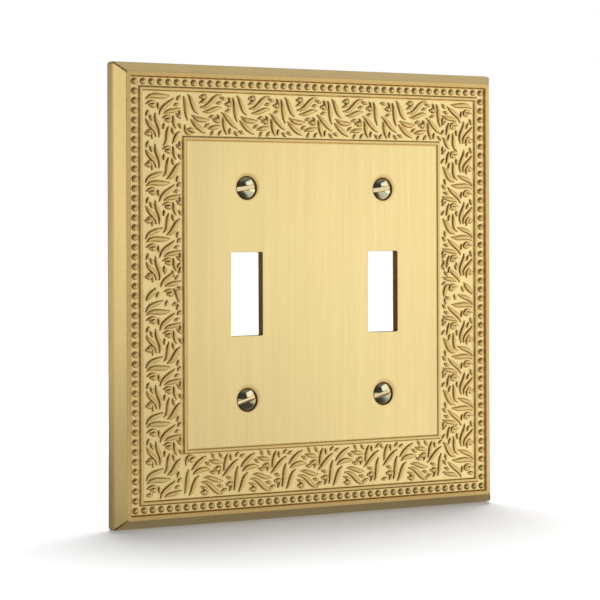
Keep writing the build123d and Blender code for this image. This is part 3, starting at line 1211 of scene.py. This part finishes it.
def stage_plane(name, material_name, size, drop):
    """A level plane under the plate with an empty material; returns both and the material's end."""
    bpy.ops.mesh.primitive_plane_add(size=size, location=(0, 0, PLATE_LOW.z - drop))
    plane = named(name)
    apply_place()
    material, tree = new_material(material_name)
    tree.nodes.clear()
    plane.data.materials.append(material)
    return plane, tree, add_node(tree, "OutputMaterial").inputs["Surface"]


def stage_floor():
    """A pale floor that the camera sees as white away from the plate, with the plate's shadow on it, and a glow
    weaker near the plate that paints shade round it.
    """
    floor, tree, surface = stage_plane("stage_floor", "pale_floor", 8, 0.0002)
    paint = add_node(tree, "BsdfDiffuse", {"Color": (*finish().floor, 1.0)}).outputs["BSDF"]
    # The glow is weaker near the plate: a painted shade round it
    glow_with_painted_shade = ease(tree, reach(tree, object_place(tree)), 0.07, 0.32, FLOOR_GLOW_PAINTED_SHADE, 1.0)
    strength = maths(tree, "MULTIPLY", rays(tree, "Camera", "Glossy", "Transmission"), glow_with_painted_shade)
    glow = add_node(tree, "Emission", {"Strength": strength}).outputs["Emission"]
    feed(tree, surface, add_node(tree, "AddShader", {0: paint, 1: glow}).outputs["Shader"])


def painted_reflection_card():
    """A glowing card under the plate that only its metal mirrors, painting reflections there: dark close in front,
    lighter behind and far off.
    """
    card, tree, surface = stage_plane("stage_card", "painted_reflection_card", 0.8, 0.0)
    place = object_place(tree)
    near = spread(tree, along(tree, place, (0, 1, 0)), -0.030, -0.008, REFLECTION_CARD_FRONT, REFLECTION_CARD_BACK)
    far = spread(tree, along(tree, place, (0.95, -0.30, 0.0)), 0.055, 0.12, 0.0, REFLECTION_CARD_FAR)
    strength = maths(tree, "ADD", near, far)
    feed(tree, surface, add_node(tree, "Emission", {"Strength": strength}).outputs["Emission"])
    card.visible_camera = False
    card.visible_diffuse = False
    card.visible_shadow = False


def studio_world():
    """A white background behind the plate, and a dim studio on the other sides."""
    world = bpy.data.worlds.new("white_studio")
    bpy.context.scene.world = world
    world.use_nodes = True
    tree = world.node_tree
    place = add_node(tree, "TexCoord").outputs["Generated"]
    behind = ease(tree, along(tree, place, (0.6, 0.8, -0.5)), 0.0, 0.9, STUDIO_DIM, STUDIO_BACK)
    left = ease(tree, along(tree, place, (-0.97, 0.22, 0.0)), 0.85, 0.98, 0.0, STUDIO_LEFT)
    above = ease(tree, along(tree, place, (0, 0, 1)), 0.5, 0.85, 0.0, STUDIO_UP)
    around = maths(tree, "ADD", maths(tree, "ADD", behind, left), above)
    shiny = {"Factor": rays(tree, "Glossy", "Transmission"), "A": STUDIO_SPILL, "B": around}
    for_metal = add_node(tree, "Mix", shiny).outputs["Result"]
    seen = {"Factor": rays(tree, "Camera"), "A": for_metal, "B": 1.0}
    background = tree.nodes["Background"].inputs
    background["Color"].default_value = (1, 1, 1, 1)
    feed(tree, background["Strength"], add_node(tree, "Mix", seen).outputs["Result"])


def photo_camera():
    """A long lens to the left of the plate, nearly level with its middle."""
    turn = Matrix.Rotation(math.radians(CAMERA_ROLL), 3, "Z") @ Matrix.Rotation(math.radians(CAMERA_YAW), 3, "Y")
    upright = Matrix(((1, 0, 0), (0, 0, 1), (0, -1, 0)))
    right, down, ahead = (upright @ Vector(row) for row in turn)
    place = upright @ -(turn.transposed() @ (Vector(CAMERA_AWAY) * MM))
    bpy.ops.object.camera_add()
    camera = bpy.context.object
    camera.name = "photo_camera"
    camera.data.sensor_width = SENSOR
    camera.data.lens = FOCAL / FRAME * SENSOR
    camera.data.shift_y = FRAME_SHIFT / FRAME
    camera.data.clip_start = 0.01
    camera.data.dof.use_dof = False
    camera.matrix_world = Matrix((*zip(right, -down, -ahead, place), (0, 0, 0, 1)))
    bpy.context.scene.camera = camera


class PLATE_OT_stage(bpy.types.Operator):
    """Sets the floor, the white studio, the soft lights and the camera"""

    bl_idname = "wall_plate.stage"
    bl_label = "Stage"

    def execute(self, context):
        start_clean()
        stage_floor()
        painted_reflection_card()
        low_light()
        studio_world()
        soft_lights()
        photo_camera()
        context.scene.view_settings.view_transform = "Standard"
        return {"FINISHED"}


STEPS = (PLATE_OT_casting, PLATE_OT_beads, PLATE_OT_leaf_border, PLATE_OT_cover_screws, PLATE_OT_stage)


class PLATE_PT_sidebar(bpy.types.Panel):
    """Sizes, colours and steps of the wall plate"""

    bl_idname = "PLATE_PT_sidebar"
    bl_label = "Wall plate"
    bl_space_type = "VIEW_3D"
    bl_region_type = "UI"
    bl_category = "Wall plate"

    def draw(self, context):
        for group in (context.scene.plate_sizes, context.scene.plate_finish):
            box = self.layout.box()
            for key in group.__annotations__:
                box.prop(group, key)
        for step in STEPS:
            self.layout.operator(step.bl_idname)


CLASSES = (PlateSizes, PlateFinish, *STEPS, PLATE_PT_sidebar)


def register():
    for cls in CLASSES:
        bpy.utils.register_class(cls)
    bpy.types.Scene.plate_sizes = PointerProperty(type=PlateSizes)
    bpy.types.Scene.plate_finish = PointerProperty(type=PlateFinish)


def unregister():
    del bpy.types.Scene.plate_finish
    del bpy.types.Scene.plate_sizes
    for cls in reversed(CLASSES):
        bpy.utils.unregister_class(cls)


def main():
    register()
    bpy.ops.wall_plate.casting()
    bpy.ops.wall_plate.beads()
    bpy.ops.wall_plate.leaf_border()
    bpy.ops.wall_plate.cover_screws()
    bpy.ops.wall_plate.stage()


if __name__ == "__main__":
    main()
